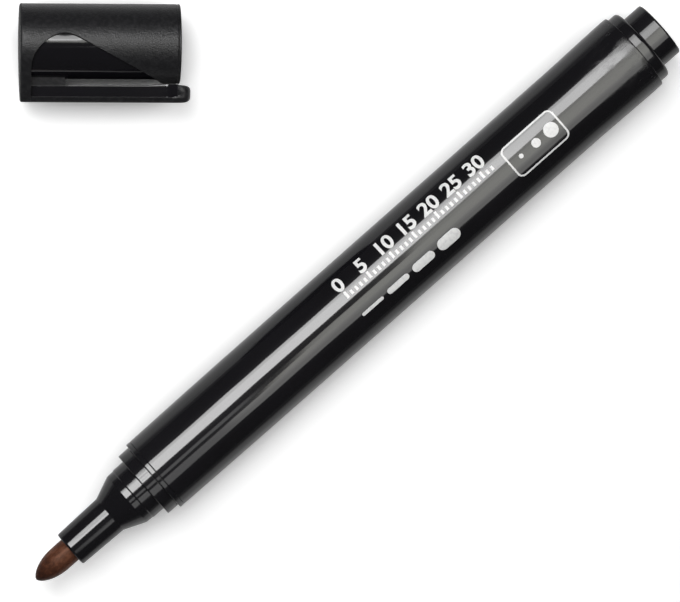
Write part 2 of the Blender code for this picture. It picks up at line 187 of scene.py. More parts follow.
# Barrel: an injection-moulded tube of polished black polypropylene, open at both ends and a little
# tapered towards the nib. A fine groove sets off its front lip, and its rear rim is flared.
TURNED_STEPS = 144
ARC_STEPS = 5
MERGE_DISTANCE = 1e-7
SHARP_ANGLE = math.radians(32)
BARREL_FRONT = 0.0259
BARREL_REAR = 0.1329
BARREL_BORE = 0.00585
LIP_RADIUS = 0.00687
LIP_END = 0.02668
GROOVE_RADIUS = 0.00677
GROOVE_WIDTH = 0.00016
GROOVE_END = LIP_END + GROOVE_WIDTH
SHOULDER_LENGTH = 0.0003
BARREL_MIDDLE = 0.050
BARREL_MIDDLE_RADIUS = 0.0070
BARREL_TAPER = 0.0015
FRONT_TUCK = 0.000116
FRONT_TUCK_RUN = 0.025
FLARE = (0.1185, 0.1315)
FLARE_HEIGHT = 0.00014
BARREL_STEPS = 64
RIM_ROUND = 0.00012
RIM_TUCK = 0.00005
RIM_TUCK_RUN = 0.0016
RIM_STEPS = 7
EDGE_ROUND = 0.0001
SUPPORT_SHARE = 0.3
PLASTIC_TONES = [(0.35, (0.0056, 0.0053, 0.0066, 1.0)), (0.65, (0.0078, 0.0074, 0.0092, 1.0))]
PEN_POLISH = 0.07
HAZE = 0.08
HAZE_SPREAD = 0.28
SCRATCH_STRETCH = (22.0, 1500.0, 1500.0)
SCRATCH_RANGE = (0.56, 0.72)
PATCH_STRETCH = (90.0, 90.0, 90.0)
PATCH_RANGE = (0.42, 0.66)
RUB_STRETCH = (380.0, 1000.0, 1000.0)
RUB_RANGE = (0.46, 0.60)
RUB_START = (0.120, 0.1315)
RUB_STOP = (BARREL_REAR - 0.0006, BARREL_REAR)
WEAR_DULLING = 0.24
RIPPLE_STRETCH = (35.0, 240.0, 240.0)
RIPPLE_HEIGHT = 0.00005
TONE_STRETCH = (60.0, 60.0, 60.0)
pen_place = Matrix.Translation(NIB_TIP) @ Matrix.Rotation(PEN_ANGLE, 4, "Z")


def spaced(start, end, steps):
    """Even stations after a start, up to an end."""
    return [start + (end - start) * step / steps for step in range(1, steps + 1)]


def eased(share):
    """Share of a way that starts and ends gently."""
    return share * share * (3 - 2 * share)


def share_between(value, limits):
    """How far a value has come between two limits, from 0 to 1."""
    return min(1.0, max(0.0, (value - limits[0]) / (limits[1] - limits[0])))


def ramp(value, limits):
    """Eased step from 0 to 1 between two limits."""
    return eased(share_between(value, limits))


def rounded(corners, closed):
    """Half a section from corners of (x, r, round), with each round drawn as an arc.

    A point close to either end of an arc keeps the shading of the long faces beside it straight.
    """
    section = []
    count = len(corners)
    for index, (x, r, radius) in enumerate(corners):
        corner = Vector((x, r))
        if radius == 0.0 or (not closed and index in (0, count - 1)):
            section.append(corner)
            continue
        neighbours = [corners[index - 1], corners[(index + 1) % count]]
        sides = [Vector(neighbour[:2]) - corner for neighbour in neighbours]
        ways = [side.normalized() for side in sides]
        half_angle = ways[0].angle(ways[1]) / 2
        reach = radius / math.tan(half_angle)
        center = corner + (ways[0] + ways[1]).normalized() * radius / math.sin(half_angle)
        start, end = (corner + way * reach - center for way in ways)
        arc = [center + start.slerp(end, step / ARC_STEPS) * radius for step in range(ARC_STEPS + 1)]
        before, after = (
            corner + way * (reach + SUPPORT_SHARE * max(0.0, min(radius, side.length - reach)))
            for way, side in zip(ways, sides)
        )
        section += [before, *arc, after]
    return section


def turned(section, closed):
    """Half a section spun round the x axis: a closed one makes a tube, an open one ends on the axis."""
    shape = bmesh.new()
    verts = [shape.verts.new((x, 0.0, r)) for x, r in section]
    links = list(zip(verts, verts[1:])) + ([(verts[-1], verts[0])] if closed else [])
    edges = [shape.edges.new(link) for link in links]
    bmesh.ops.spin(
        shape, geom=verts + edges, axis=(1.0, 0.0, 0.0), cent=(0.0, 0.0, 0.0),
        angle=2 * math.pi, steps=TURNED_STEPS, use_merge=True,
    )
    return shape


def finished(name, shape, place, *materials):
    """Object from a bmesh, with its place in its mesh, closed seams and smooth faces between sharp edges."""
    bmesh.ops.remove_doubles(shape, verts=shape.verts, dist=MERGE_DISTANCE)
    bmesh.ops.transform(shape, matrix=place, verts=shape.verts)
    bmesh.ops.recalc_face_normals(shape, faces=shape.faces)
    mesh = bpy.data.meshes.new(name)
    shape.to_mesh(mesh)
    shape.free()
    mesh.shade_smooth()
    mesh.set_sharp_from_angle(angle=SHARP_ANGLE)
    for material in materials:
        mesh.materials.append(material)
    piece = bpy.data.objects.new(name, mesh)
    bpy.context.collection.objects.link(piece)
    return piece


def barrel_radius(x):
    """Outer radius of the barrel behind its lip: an even taper, drawn in at both ends, flared at the rear."""
    tuck = FRONT_TUCK * (max(0.0, BARREL_MIDDLE - x) / FRONT_TUCK_RUN) ** 2
    tuck += RIM_TUCK * (max(0.0, x - BARREL_REAR + RIM_TUCK_RUN) / RIM_TUCK_RUN) ** 2
    return BARREL_MIDDLE_RADIUS + BARREL_TAPER * (x - BARREL_MIDDLE) - tuck + FLARE_HEIGHT * ramp(x, FLARE)


def combined(tree, operation, *operands):
    """Result of a sum, product or other operation on values."""
    return add_node(tree, "ShaderNodeMath", {"operation": operation}, operands).outputs["Value"]


moulding_marks, mark_vector, mark_out = new_group("moulding marks", ["Scuffs", "Ripple", "Tone"])
scratches = stretched_noise(moulding_marks, mark_vector, SCRATCH_STRETCH, detail=4.0, roughness=0.62)
patches = stretched_noise(moulding_marks, mark_vector, PATCH_STRETCH, detail=2.0)
rubbing = stretched_noise(moulding_marks, mark_vector, RUB_STRETCH, detail=5.0, roughness=0.7)
mark_along = add_node(moulding_marks, "ShaderNodeSeparateXYZ", Vector=mark_vector).outputs["X"]
scratched = between(moulding_marks, scratches, *SCRATCH_RANGE)
handled = between(moulding_marks, patches, *PATCH_RANGE)
scuffs = combined(moulding_marks, "MULTIPLY", scratched, handled)
near_rim = between(moulding_marks, mark_along, *RUB_START)
before_rim = between(moulding_marks, mark_along, *RUB_STOP, 1.0, 0.0)
at_rim = combined(moulding_marks, "MULTIPLY", near_rim, before_rim)
rubs = combined(moulding_marks, "MULTIPLY", between(moulding_marks, rubbing, *RUB_RANGE), at_rim)
worn = combined(moulding_marks, "MAXIMUM", scuffs, rubs)
ripple = stretched_noise(moulding_marks, mark_vector, RIPPLE_STRETCH, detail=2.0)
tone = stretched_noise(moulding_marks, mark_vector, TONE_STRETCH, detail=3.0)
moulding_marks.links.new(worn, mark_out.inputs["Scuffs"])
moulding_marks.links.new(ripple, mark_out.inputs["Ripple"])
moulding_marks.links.new(tone, mark_out.inputs["Tone"])


def polished_plastic(name, coordinates, polish, haze):
    """Glossy black plastic with the faint flow ripples and handling scuffs of a moulded piece."""
    material, tree, shader = new_finish(name, IOR=1.5, Coat_Weight=haze, Coat_Roughness=HAZE_SPREAD)
    marks = add_node(tree, "ShaderNodeGroup", {"node_tree": moulding_marks}, Vector=coordinates(tree))
    tree.links.new(tinted(tree, marks.outputs["Tone"], PLASTIC_TONES), shader.inputs["Base Color"])
    roughness = between(tree, marks.outputs["Scuffs"], 0.0, 1.0, polish, polish + WEAR_DULLING)
    tree.links.new(roughness, shader.inputs["Roughness"])
    raised(tree, shader, marks.outputs["Ripple"], RIPPLE_HEIGHT)
    return material


pen_gloss = polished_plastic("polished pen plastic", pen_coordinates, PEN_POLISH, HAZE)
tube_start = GROOVE_END + SHOULDER_LENGTH
tube_end = BARREL_REAR - RIM_TUCK_RUN
tube_stations = [tube_start, *spaced(tube_start, tube_end, BARREL_STEPS)]
rim_stations = spaced(tube_end, BARREL_REAR, RIM_STEPS)[:-1]
barrel_line = [
    (BARREL_FRONT, BARREL_BORE, 0.0),
    (BARREL_FRONT, LIP_RADIUS, EDGE_ROUND),
    (LIP_END, LIP_RADIUS, EDGE_ROUND / 2),
    (LIP_END + GROOVE_WIDTH / 2, GROOVE_RADIUS, 0.0),
    (GROOVE_END, barrel_radius(GROOVE_END), EDGE_ROUND / 2),
]
barrel_line += [(x, barrel_radius(x), 0.0) for x in tube_stations + rim_stations]
barrel_line += [(BARREL_REAR, barrel_radius(BARREL_REAR), RIM_ROUND), (BARREL_REAR, BARREL_BORE, 0.0)]
barrel = finished("barrel_tube", turned(rounded(barrel_line, closed=True), closed=True), pen_place, pen_gloss)
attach(barrel, "pen")
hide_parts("barrel")


# Barrel print: a millimetre scale with plain numbers, strokes of growing width and a framed key of dots,
# pad-printed in opaque white ink. The ink stands a few microns proud and wraps round the barrel's upper side.
PRINT_PROUD = 0.000012
PRINT_TONES = [(0.0, (0.80, 0.80, 0.80, 1.0)), (1.0, (0.93, 0.93, 0.92, 1.0))]
PRINT_CUT = 0.0004
PRINT_CUTS = range(-12, 17)
COVERAGE_STRETCH = (1800.0, 1800.0, 1800.0)
COVERAGE_RANGE = (0.30, 0.52)
COVERAGE_HEIGHT = 0.000004
BAR_ROUND_LIMIT = 0.98
BAR_ROUND_SEGMENTS = 6
TICK_START = 0.0695
TICK_SPACING = 0.001
TICK_COUNT = 32
TICK_WIDTH = 0.00046
TICK_FOOT = 0.0013
TICK_SHORT = 0.0008
TICK_LONG = 0.0013
NUMBER_STEP = 5
NUMBER_FOOT = 0.0030
NUMBER_SIZE = 0.0037
NUMBER_WEIGHT = 0.00011
NUMBER_CURVE_STEPS = 4
STROKE_WIDTHS = [0.0006, 0.0011, 0.0016, 0.0022]
STROKE_LENGTH = 0.0046
STROKE_SPACING = 0.0056
STROKE_MIDDLE = -0.0025
KEY_START = 0.1042
KEY_LENGTH = 0.0112
KEY_HEIGHT = 0.0062
KEY_LINE = 0.00032
KEY_ROUND = 0.0012
KEY_DOTS = [0.0004, 0.0008, 0.0013]
KEY_DOT_SPACING = KEY_LENGTH / 3.4
KEY_DOT_FIRST = 0.75 * KEY_DOT_SPACING
KEY_DOT_SEGMENTS = 32


def add_bar(shape, x, y, length, width, rounding):
    """Flat bar of print with rounded ends, laid out along the barrel (x) and round it (y)."""
    bar = bmesh.ops.create_grid(shape, x_segments=1, y_segments=1, size=0.5)["verts"]
    bmesh.ops.scale(shape, vec=(length, width, 1.0), verts=bar)
    bmesh.ops.translate(shape, vec=(x + length / 2, y, 0.0), verts=bar)
    if rounding > 0.0:
        bmesh.ops.bevel(
            shape, geom=bar, offset=rounding * BAR_ROUND_LIMIT, affect="VERTICES",
            segments=BAR_ROUND_SEGMENTS, profile=0.5, material=-1,
        )


def add_number(shape, number, x, y):
    """Plain number of the tick scale, centred at x and standing at y."""
    letters = bpy.data.curves.new("number", "FONT")
    letters.body = str(number)
    letters.size = NUMBER_SIZE
    letters.offset = NUMBER_WEIGHT
    letters.align_x = "CENTER"
    letters.resolution_u = NUMBER_CURVE_STEPS
    holder = bpy.data.objects.new("number", letters)
    mesh = bpy.data.meshes.new_from_object(holder)
    mesh.transform(Matrix.Translation((x, y, 0.0)))
    shape.from_mesh(mesh)
    bpy.data.objects.remove(holder)
    bpy.data.meshes.remove(mesh)
    bpy.data.curves.remove(letters)


print_shape = bmesh.new()
for tick in range(TICK_COUNT + 1):
    x = TICK_START + tick * TICK_SPACING
    numbered = tick % NUMBER_STEP == 0
    height = TICK_LONG if numbered else TICK_SHORT
    add_bar(print_shape, x, TICK_FOOT + height / 2, TICK_WIDTH, height, 0.0)
    if numbered:
        add_number(print_shape, tick, x + TICK_WIDTH / 2, NUMBER_FOOT)
for index, width in enumerate(STROKE_WIDTHS):
    x = TICK_START + index * STROKE_SPACING
    add_bar(print_shape, x, STROKE_MIDDLE, STROKE_LENGTH, width, width / 2)
key_shape = bmesh.new()
add_bar(key_shape, KEY_START, 0.0, KEY_LENGTH, KEY_HEIGHT, KEY_ROUND)
key_outline = bmesh.ops.inset_region(
    key_shape, faces=key_shape.faces[:], thickness=KEY_LINE, use_boundary=True, use_even_offset=True
)["faces"]
key_inside = [face for face in key_shape.faces if face not in key_outline]
bmesh.ops.delete(key_shape, geom=key_inside, context="FACES")
for index, radius in enumerate(KEY_DOTS):
    dot_place = Matrix.Translation((KEY_START + KEY_DOT_FIRST + index * KEY_DOT_SPACING, 0.0, 0.0))
    bmesh.ops.create_circle(
        key_shape, cap_ends=True, segments=KEY_DOT_SEGMENTS, radius=radius, matrix=dot_place
    )
key_mesh = bpy.data.meshes.new("print_key")
key_shape.to_mesh(key_mesh)
key_shape.free()
print_shape.from_mesh(key_mesh)
bpy.data.meshes.remove(key_mesh)
for cut in PRINT_CUTS:
    bmesh.ops.bisect_plane(
        print_shape, geom=print_shape.verts[:] + print_shape.edges[:] + print_shape.faces[:],
        plane_co=(0.0, cut * PRINT_CUT, 0.0), plane_no=(0.0, 1.0, 0.0), dist=MERGE_DISTANCE,
    )
for vert in print_shape.verts:
    radius = barrel_radius(vert.co.x) + PRINT_PROUD
    around = vert.co.y / radius
    vert.co = (vert.co.x, radius * math.sin(around), radius * math.cos(around))

white_ink, tree, shader = new_finish("white printing ink", Roughness=0.38)
ink_vector = pen_coordinates(tree)
coverage_noise = stretched_noise(tree, ink_vector, COVERAGE_STRETCH, detail=3.0)
coverage = between(tree, coverage_noise, *COVERAGE_RANGE)
tree.links.new(tinted(tree, coverage, PRINT_TONES), shader.inputs["Base Color"])
raised(tree, shader, coverage, COVERAGE_HEIGHT)
barrel_print = finished("barrel_print", print_shape, pen_place, white_ink)
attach(barrel_print, "pen")


# Nose section: one moulding of the same black plastic that carries the nib. A thin ferrule tube, a cone,
# two lands that the cap grips and a collar that stops it, on a spigot pressed into the barrel.
SEAM = 0.00003
FERRULE_MOUTH = 0.0075
CONE_FRONT = 0.0163
FRONT_LAND = 0.0201
LAND_STEP = 0.0213
REAR_LAND = 0.0215
COLLAR_FRONT = 0.0237
COLLAR_REAR = BARREL_FRONT - SEAM
NOSE_REAR = 0.0377
FUNNEL_FRONT = 0.0227
NIB_BORE = 0.002365
FERRULE_MOUTH_RADIUS = 0.003225
FERRULE_BASE_RADIUS = 0.003425
FRONT_LAND_RADIUS = 0.00503
REAR_LAND_RADIUS = 0.00515
COLLAR_RADIUS = 0.0063
SPIGOT_RADIUS = 0.0057
SPIGOT_BORE = 0.0046
FERRULE_ROUND = 0.0003
CONE_ROUND = 0.0003
LAND_ROUND = 0.00012
LAND_STEP_ROUND = 0.00008
nose_line = [
    (FERRULE_MOUTH, NIB_BORE, 0.0),
    (FERRULE_MOUTH, FERRULE_MOUTH_RADIUS, FERRULE_ROUND),
    (CONE_FRONT, FERRULE_BASE_RADIUS, CONE_ROUND),
    (FRONT_LAND, FRONT_LAND_RADIUS, LAND_ROUND),
    (LAND_STEP, FRONT_LAND_RADIUS, LAND_STEP_ROUND),
    (REAR_LAND, REAR_LAND_RADIUS, LAND_STEP_ROUND),
    (COLLAR_FRONT, REAR_LAND_RADIUS, EDGE_ROUND),
    (COLLAR_FRONT, COLLAR_RADIUS, EDGE_ROUND),
    (COLLAR_REAR, COLLAR_RADIUS, EDGE_ROUND),
    (COLLAR_REAR, SPIGOT_RADIUS, 0.0),
    (NOSE_REAR, SPIGOT_RADIUS, EDGE_ROUND),
    (NOSE_REAR, SPIGOT_BORE, 0.0),
    (COLLAR_REAR, SPIGOT_BORE, 0.0),
    (FUNNEL_FRONT, NIB_BORE, 0.0),
]
nose = finished("nose_moulding", turned(rounded(nose_line, closed=True), closed=True), pen_place, pen_gloss)
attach(nose, "pen")
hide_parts("nose_section")


# Nib: a rod of bonded felt fibre, ground to a bullet point and stained brown by dried ink.
# It slides into the ferrule with a light press fit, and its tail reaches into the ink reservoir.
NIB_RADIUS = 0.002215
NIB_POINT_LENGTH = 0.0052
NIB_POINT_EXPONENT = 0.62
NIB_POINT_STEPS = 28
NIB_STEP_EXPONENT = 1.8
NIB_TAIL = 0.0459
FELT_TONES = [
    (0.10, (0.014, 0.0065, 0.0062, 1.0)),
    (0.55, (0.058, 0.020, 0.011, 1.0)),
    (0.90, (0.138, 0.051, 0.027, 1.0)),
]
FELT_SHEEN = (1.0, 0.58, 0.42, 1.0)
FELT_STRETCH = (1300.0, 2200.0, 2200.0)
FELT_HEIGHT = 0.00006
MOTTLE_WEIGHT = 1.1
MOTTLE_SHIFT = -0.55
CLUMP_WEIGHT = 0.5
DRY_WEIGHT = 0.5
DRY_RUN = (0.0, 0.0048)
nib_line = [(0.0, 0.0)]
for share in spaced(0.0, 1.0, NIB_POINT_STEPS):
    along = share ** NIB_STEP_EXPONENT
    width = (1 - (1 - along) ** 2) ** NIB_POINT_EXPONENT
    nib_line.append((NIB_POINT_LENGTH * along, NIB_RADIUS * width))
nib_line += [(FERRULE_MOUTH, NIB_RADIUS), (NIB_TAIL, NIB_RADIUS), (NIB_TAIL, 0.0)]

brown_felt, tree, shader = new_finish(
    "inked felt", Roughness=0.40, Specular_IOR_Level=0.30, Specular_Tint=FELT_SHEEN
)
felt_vector = pen_coordinates(tree)
strands = add_node(tree, "ShaderNodeGroup", {"node_tree": fibre_strands}, Vector=felt_vector)
felt_along = add_node(tree, "ShaderNodeSeparateXYZ", Vector=felt_vector).outputs["X"]
dry = between(tree, felt_along, *DRY_RUN)
mottle = stretched_noise(tree, felt_vector, FELT_STRETCH, detail=4.0, roughness=0.65)
fibre = combined(tree, "MULTIPLY_ADD", mottle, MOTTLE_WEIGHT, MOTTLE_SHIFT)
blotch = combined(tree, "MULTIPLY_ADD", strands.outputs["Clump"], CLUMP_WEIGHT, fibre)
wear = combined(tree, "MULTIPLY_ADD", dry, DRY_WEIGHT, blotch)
tree.links.new(tinted(tree, wear, FELT_TONES), shader.inputs["Base Color"])
raised(tree, shader, strands.outputs["Strand"], FELT_HEIGHT)
nib = finished("nib_felt", turned(nib_line, closed=False), pen_place, brown_felt)
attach(nib, "pen")
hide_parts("nib")


# Rear plug: a black moulded stopper with a hollow spigot, pressed into the rear of the barrel after filling.
# Its rounded flange covers the rim, and the cap fits over its button while the pen is in use.
FLANGE_FRONT = BARREL_REAR + SEAM
FLANGE_REAR = 0.1349
PLUG_FRONT = 0.1251
CHAMBER_END = 0.1373
FLANGE_RADIUS = 0.006725
BUTTON_RADIUS = 0.0051
BUTTON_BORE = 0.0037
PLUG_BORE = 0.0045
CHAMBER_ROUND = 0.0002
FLANGE_ROUND = 0.0006
BUTTON_FOOT_ROUND = 0.00015
BUTTON_ROUND = 0.0003
plug_line = [
    (CHAMBER_END, 0.0, 0.0),
    (CHAMBER_END, BUTTON_BORE, CHAMBER_ROUND),
    (FLANGE_FRONT, BUTTON_BORE, 0.0),
    (PLUG_FRONT, PLUG_BORE, 0.0),
    (PLUG_FRONT, SPIGOT_RADIUS, EDGE_ROUND),
    (FLANGE_FRONT, SPIGOT_RADIUS, 0.0),
    (FLANGE_FRONT, FLANGE_RADIUS, EDGE_ROUND / 2),
    (FLANGE_REAR, FLANGE_RADIUS, FLANGE_ROUND),
    (FLANGE_REAR, BUTTON_RADIUS, BUTTON_FOOT_ROUND),
    (PEN_LENGTH, BUTTON_RADIUS, BUTTON_ROUND),
    (PEN_LENGTH, 0.0, 0.0),
]
plug = finished("rear_stopper", turned(rounded(plug_line, closed=False), closed=False), pen_place, pen_gloss)
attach(plug, "pen")
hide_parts("rear_plug")


# Cap seal: a soft polyethylene cup pressed to the bottom of the cap. Its bore closes on the ferrule
# so that the nib doesn't dry, and its flange centres it in the cap.
CAP_END = Vector(mounts["cap_end"]["pos_m"])
SEAL_BASE = 0.0021
SEAL_FLOOR = 0.0028
SEAL_FLANGE_END = 0.0046
SEAL_MOUTH = 0.0187
SEAL_BORE = 0.003575
SEAL_RADIUS = 0.004375
SEAL_FLANGE_RADIUS = 0.00515
SEAL_MOUTH_ROUND = 0.0003
SEAL_TONES = [(0.35, (0.030, 0.030, 0.032, 1.0)), (0.65, (0.052, 0.052, 0.055, 1.0))]
cap_place = Matrix.Translation(CAP_END)


def cap_coordinates(tree):
    """Coordinates of the cap, with x from the middle of its closed end towards its mouth."""
    return placed_coordinates(tree, CAP_END)


seal_line = [
    (SEAL_BASE, 0.0, 0.0),
    (SEAL_BASE, SEAL_FLANGE_RADIUS, EDGE_ROUND),
    (SEAL_FLANGE_END, SEAL_FLANGE_RADIUS, EDGE_ROUND),
    (SEAL_FLANGE_END, SEAL_RADIUS, EDGE_ROUND),
    (SEAL_MOUTH, SEAL_RADIUS, EDGE_ROUND),
    (SEAL_MOUTH, SEAL_BORE, SEAL_MOUTH_ROUND),
    (SEAL_FLOOR, SEAL_BORE, EDGE_ROUND),
    (SEAL_FLOOR, 0.0, 0.0),
]
seal_plastic, tree, shader = new_finish("seal plastic", Roughness=0.36)
marks = add_node(tree, "ShaderNodeGroup", {"node_tree": moulding_marks}, Vector=cap_coordinates(tree))
tree.links.new(tinted(tree, marks.outputs["Tone"], SEAL_TONES), shader.inputs["Base Color"])
raised(tree, shader, marks.outputs["Ripple"], RIPPLE_HEIGHT)
seal = finished("seal_cup", turned(rounded(seal_line, closed=False), closed=False), cap_place, seal_plastic)
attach(seal, "cap")
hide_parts("cap_seal")


# Cap shell: a black moulded cap with a finely spark-eroded skin. A shallow window in its side bares a
# polished band below a hump, and its closed end is drawn out into a drop shape that carries the clip's root.
CAP_LENGTH = 0.0267
CAP_RADIUS = 0.00662
CAP_BORE = 0.0053
CAP_FLOOR = 0.0019
CORE_RADIUS = 0.0060
BAND_END = 0.00195
BAND_ROUND = 0.0003
BAND_ROUND_STEPS = 6
BAND_EDGE = 0.00008
CLIP_OUTER = 0.00977
CLIP_CORNER = Vector((0.0026, 0.0093))
CORNER_SOFTNESS = 60.0
FACE_LIMIT = 1.2
HUMP_FOOT = -0.0036
HUMP_PEAK_X = 0.00725
HUMP_PEAK_Y = 0.00178
HUMP_EXPONENT = 1.7
HUMP_PEAK_ROUND = 0.005
HUMP_FALL = math.radians(28.6)
HUMP_LEAST_ANGLE = math.radians(10.0)
HUMP_FADE = (0.0227, 0.0239)
HUMP_RISE_STEPS = 18
HUMP_PEAK_STEPS = 8
HUMP_FALL_STEPS = 30
RIM_WIDTH = 0.00012
MOUTH_RUN = 0.0006
MOUTH_GROOVE = 0.02622
MOUTH_GROOVE_HALF = 0.0001
MOUTH_GROOVE_DEPTH = 0.00008
MOUTH_ROUND = 0.00018
DOME = 0.00012
DOME_ROWS = 6
WINDOW_ROWS = 26
RIM_ROWS = 5
SKIN_ROWS = 46
GRAIN_TONES = [(0.2, (0.0110, 0.0110, 0.0122, 1.0)), (0.9, (0.0195, 0.0195, 0.0212, 1.0))]
GRAIN_STRETCH = (3800.0, 3800.0, 3800.0)
GRAIN_HEIGHT = 0.00007
FLECK_STRETCH = (1500.0, 1500.0, 1500.0)
FLECK_RANGE = (0.38, 0.68)
SKIN_ROUGHNESS = (0.30, 0.39)
END_FACE = (0.0002, 0.0005)
END_COARSENESS = 0.40
CAP_POLISH = 0.08

corner_angle = math.atan2(CLIP_CORNER.x, CLIP_CORNER.y)
drop_tangent = corner_angle + math.acos(CAP_RADIUS / CLIP_CORNER.length)


def drop_radius(angle):
    """Distance from the cap's axis to the drop-shaped outline, at an angle from the clip's middle."""
    if angle >= drop_tangent:
        return CAP_RADIUS
    side = CAP_RADIUS / math.cos(drop_tangent - angle)
    face = CLIP_OUTER / math.cos(angle) if angle < FACE_LIMIT else 10 * CLIP_OUTER
    return (side ** -CORNER_SOFTNESS + face ** -CORNER_SOFTNESS) ** (-1 / CORNER_SOFTNESS)


def hump_angle(y):
    """Angle from the clip's middle at which the skin has the given height across the cap."""
    return max(HUMP_LEAST_ANGLE, math.acos(min(1.0, -y / CAP_RADIUS)))


def hump_line():
    """Stations along the cap, each with the angle of the window's rim there."""
    run = HUMP_PEAK_X - BAND_END
    rise = HUMP_PEAK_Y - HUMP_FOOT
    power = 2 / HUMP_EXPONENT
    line = []
    for turn in [0.0, *spaced(0.0, math.pi / 2, HUMP_RISE_STEPS)]:
        x = HUMP_PEAK_X - run * math.cos(turn) ** power
        line.append((x, hump_angle(HUMP_FOOT + rise * math.sin(turn) ** power)))
    for turn in spaced(0.0, HUMP_FALL, HUMP_PEAK_STEPS):
        x = HUMP_PEAK_X + HUMP_PEAK_ROUND * math.sin(turn)
        y = HUMP_PEAK_Y - HUMP_PEAK_ROUND * (1 - math.cos(turn))
        line.append((x, hump_angle(y)))
    fall_x, fall_y = x, y
    for x in spaced(fall_x, HUMP_FADE[1], HUMP_FALL_STEPS):
        line.append((x, hump_angle(fall_y - (x - fall_x) * math.tan(HUMP_FALL))))
    return line


def section_point(x, angle, radius):
    """Point on the cap at an angle from the clip's middle."""
    return Vector((x, -radius * math.cos(angle), radius * math.sin(angle)))


def end_point(x, angle, radius):
    """Point on the closed end, which is slightly domed."""
    return section_point(x + DOME * (radius / CAP_RADIUS) ** 2, angle, radius)


def shell_rows(rim_angle):
    """Angles from the clip's middle to the far side, each with its share of the step from core to skin."""
    half_rim = RIM_WIDTH / CAP_RADIUS / 2
    rim_start = rim_angle - half_rim
    rim_end = rim_angle + half_rim
    rows = [(rim_start * row / WINDOW_ROWS, 0.0) for row in range(WINDOW_ROWS)]
    for share in [0.0, *spaced(0.0, 1.0, RIM_ROWS)]:
        rows.append((rim_start + 2 * half_rim * share, eased(share)))
    rows += [(angle, 1.0) for angle in spaced(rim_end, math.pi, SKIN_ROWS)]
    return rows


def lofted(stations, finish_of):
    """Grid laid over rows of points. Each of its faces gets the finish for its column and row."""
    shape = bmesh.new()
    columns = len(stations) - 1
    rows = len(stations[0]) - 1
    grid = bmesh.ops.create_grid(shape, x_segments=columns, y_segments=rows, size=0.5)["verts"]
    for face in shape.faces:
        middle = face.calc_center_median()
        face.material_index = finish_of(int((middle.x + 0.5) * columns), int((middle.y + 0.5) * rows))
    for vert in grid:
        column = round((vert.co.x + 0.5) * columns)
        row = round((vert.co.y + 0.5) * rows)
        vert.co = stations[column][row]
    return shape


def mirrored(shape):
    """Half a shape made whole across its upright middle plane, with its open ends closed."""
    geometry = shape.verts[:] + shape.edges[:] + shape.faces[:]
    bmesh.ops.mirror(
        shape, geom=geometry, matrix=Matrix.Identity(4), merge_dist=MERGE_DISTANCE, axis="Z"
    )
    bmesh.ops.remove_doubles(shape, verts=shape.verts, dist=MERGE_DISTANCE)
    bmesh.ops.holes_fill(shape, edges=[edge for edge in shape.edges if edge.is_boundary], sides=0)
    return shape


hump = hump_line()
foot_rows = shell_rows(hump[0][1])
mouth_rows = shell_rows(hump[-1][1])
stations = []
for step in range(DOME_ROWS):
    stations.append([
        end_point(0.0, angle, (drop_radius(angle) - BAND_ROUND) * step / DOME_ROWS) for angle, _ in foot_rows
    ])
for turn in [0.0, *spaced(0.0, math.pi / 2, BAND_ROUND_STEPS)]:
    x = BAND_ROUND * (1 - math.cos(turn))
    inset = BAND_ROUND * (1 - math.sin(turn))
    stations.append([end_point(x, angle, drop_radius(angle) - inset) for angle, _ in foot_rows])
stations.append([section_point(BAND_END - BAND_EDGE, angle, drop_radius(angle)) for angle, _ in foot_rows])
stations.append([
    section_point(BAND_END, angle, max(drop_radius(angle) - BAND_EDGE * (1 - share), CORE_RADIUS))
    for angle, share in foot_rows
])
window_start = len(stations)
for x, rim_angle in hump:
    depth = (CAP_RADIUS - CORE_RADIUS) * (1 - ramp(x, HUMP_FADE))
    stations.append([
        section_point(x, angle, CAP_RADIUS - depth * (1 - share)) for angle, share in shell_rows(rim_angle)
    ])
window_end = len(stations)
mouth_line = [
    (hump[-1][0] + MOUTH_RUN, CAP_RADIUS, 0.0),
    (MOUTH_GROOVE - MOUTH_GROOVE_HALF, CAP_RADIUS, 0.0),
    (MOUTH_GROOVE, CAP_RADIUS - MOUTH_GROOVE_DEPTH, 0.0),
    (MOUTH_GROOVE + MOUTH_GROOVE_HALF, CAP_RADIUS, 0.0),
    (CAP_LENGTH, CAP_RADIUS, MOUTH_ROUND),
    (CAP_LENGTH, CAP_BORE, MOUTH_ROUND),
    (CAP_FLOOR, CAP_BORE, 0.0),
]
for x, radius in rounded(mouth_line, closed=False):
    stations.append([section_point(x, angle, radius) for angle, _ in mouth_rows])


def cap_finish(column, row):
    """The skin is grained (0), the window with its rim polished (1)."""
    return 1 if window_start <= column < window_end and row < WINDOW_ROWS + 1 else 0


moulded_grain, grain_vector, grain_out = new_group("moulded grain", ["Grain", "Fleck"])
grain = stretched_noise(moulded_grain, grain_vector, GRAIN_STRETCH, detail=2.0, roughness=0.6)
fleck_noise = stretched_noise(moulded_grain, grain_vector, FLECK_STRETCH, detail=4.0, roughness=0.65)
moulded_grain.links.new(grain, grain_out.inputs["Grain"])
moulded_grain.links.new(between(moulded_grain, fleck_noise, *FLECK_RANGE), grain_out.inputs["Fleck"])

